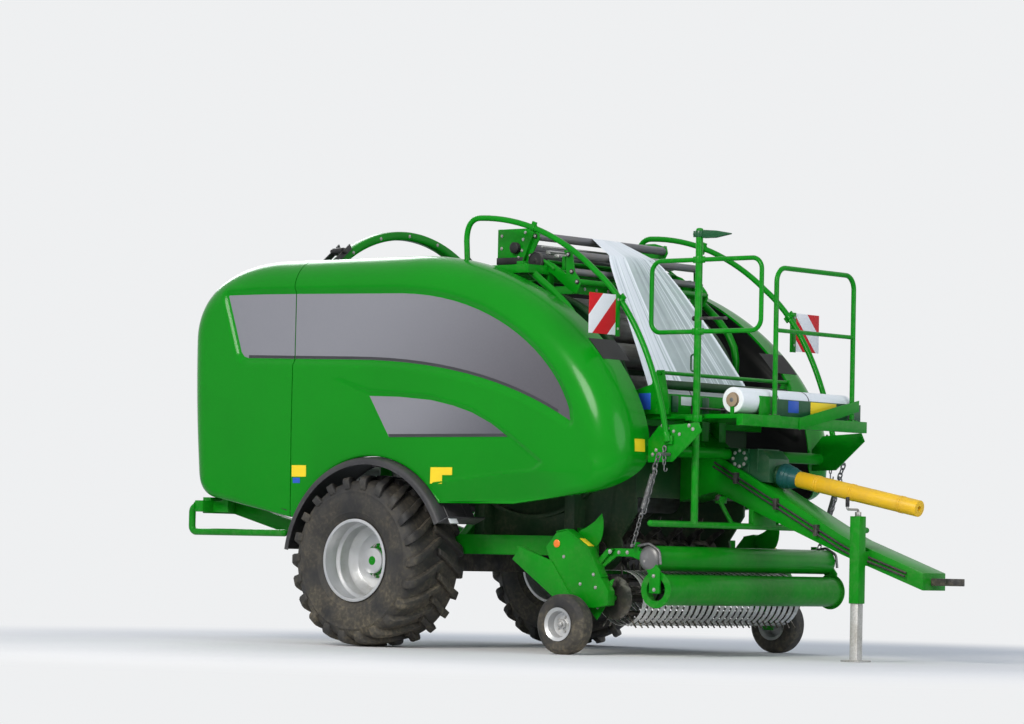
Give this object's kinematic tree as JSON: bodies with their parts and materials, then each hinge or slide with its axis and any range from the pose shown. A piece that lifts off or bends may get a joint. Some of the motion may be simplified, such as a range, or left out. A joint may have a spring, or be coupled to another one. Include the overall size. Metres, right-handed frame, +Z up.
{
  "type": "towed baler-wrapper combination",
  "caption": "Towed round baler with a vertical wrapping ring in one machine: pick-up, bale chamber, film ring, gull-wing side doors and drawbar jack.",
  "frame": {"origin": "on the ground under the middle of the machine's box", "axes": "+X in the direction of travel, +Y to the left, +Z up"},
  "size_m": [6.081, 2.84, 3.1348],
  "materials": {
    "green_paint": "glossy green machine paint",
    "grey_moulding": "dark grey moulded plastic",
    "dark_steel": "satin dark paint",
    "bright_steel": "worn bright steel",
    "tyre_rubber": "matt black rubber",
    "rim_silver": "silver rim paint",
    "wrap_film": "white stretch film",
    "board_paint": "reflective white and red",
    "guard_yellow": "yellow moulded guard",
    "lamp_red": "clear red lens"
  },
  "bodies": {
    "frame": {"chassis": "green_paint", "guard_tubes": "green_paint", "axle_beam": "dark_steel", "upper_frame": "green_paint", "fender_right": "grey_moulding", "fender_left": "grey_moulding", "rear_shell_right": "green_paint", "rear_shell_left": "green_paint", "chamber": "green_paint", "bale_rollers": "bright_steel", "ring_guides": "dark_steel", "guard_hoops": "green_paint", "warning_boards": "board_paint", "applicator": "green_paint", "applicator_rollers": "bright_steel", "film_web": "wrap_film", "film_rolls": "wrap_film", "platform": "green_paint", "railings": "green_paint", "arm_plates": "green_paint", "lift_chains": "bright_steel", "drawbar": "green_paint", "hitch_eye": "dark_steel", "gearbox": "green_paint", "pto_shaft": "guard_yellow", "lamps": "lamp_red"},
    "wheel_right": {"tyre_right": "tyre_rubber", "rim_right": "rim_silver"},
    "wheel_left": {"tyre_left": "tyre_rubber", "rim_left": "rim_silver"},
    "ring": {"wrap_ring": "green_paint", "dispensers": "green_paint", "dispenser_film": "wrap_film"},
    "side_door_right": {"door_right": "green_paint"},
    "side_door_left": {"door_left": "green_paint"},
    "pickup": {"pickup_frame": "green_paint", "stripper_bands": "bright_steel"},
    "reel": {"tine_reel": "dark_steel"},
    "crop_roll": {"crop_roller": "green_paint"},
    "rotor": {"feed_rotor": "bright_steel"},
    "gauge_wheel_right": {"gauge_tyre_right": "tyre_rubber", "gauge_rim_right": "rim_silver"},
    "gauge_wheel_left": {"gauge_tyre_left": "tyre_rubber", "gauge_rim_left": "rim_silver"},
    "jack": {"jack_leg": "bright_steel"}
  },
  "joints": [
    {"name": "wheel_right_turn", "type": "hinge", "parent": "frame", "child": "wheel_right", "pos_m": [-1.2745, -1.14, 0.6215], "axis": [0, 1, 0], "continuous": true},
    {"name": "wheel_left_turn", "type": "hinge", "parent": "frame", "child": "wheel_left", "pos_m": [-1.2745, 1.14, 0.6215], "axis": [0, 1, 0], "continuous": true},
    {"name": "ring_turn", "type": "hinge", "parent": "frame", "child": "ring", "pos_m": [-2.0745, 0, 1.83], "axis": [1, 0, 0], "continuous": true},
    {"name": "door_right_open", "type": "hinge", "parent": "frame", "child": "side_door_right", "pos_m": [-1.2745, -1.07, 2.785], "axis": [-1, 0, 0], "range_deg": [0, 65]},
    {"name": "door_left_open", "type": "hinge", "parent": "frame", "child": "side_door_left", "pos_m": [-1.2745, 1.07, 2.785], "axis": [1, 0, 0], "range_deg": [0, 65]},
    {"name": "pickup_lift", "type": "hinge", "parent": "frame", "child": "pickup", "pos_m": [0.3455, 0, 0.82], "axis": [0, -1, 0], "range_deg": [0, 11]},
    {"name": "reel_turn", "type": "hinge", "parent": "pickup", "child": "reel", "pos_m": [0.8255, 0, 0.4], "axis": [0, 1, 0], "continuous": true},
    {"name": "crop_roll_turn", "type": "hinge", "parent": "pickup", "child": "crop_roll", "pos_m": [1.2105, 0, 0.465], "axis": [0, 1, 0], "continuous": true},
    {"name": "rotor_turn", "type": "hinge", "parent": "frame", "child": "rotor", "pos_m": [0.4155, 0, 0.75], "axis": [0, 1, 0], "continuous": true},
    {"name": "gauge_right_turn", "type": "hinge", "parent": "pickup", "child": "gauge_wheel_right", "pos_m": [0.5855, -1.26, 0.21], "axis": [0, 1, 0], "continuous": true},
    {"name": "gauge_left_turn", "type": "hinge", "parent": "pickup", "child": "gauge_wheel_left", "pos_m": [0.5855, 1.26, 0.21], "axis": [0, 1, 0], "continuous": true},
    {"name": "jack_slide", "type": "slide", "parent": "frame", "child": "jack", "axis": [0, 0, 1], "range_m": [0, 0.3]}
  ]
}
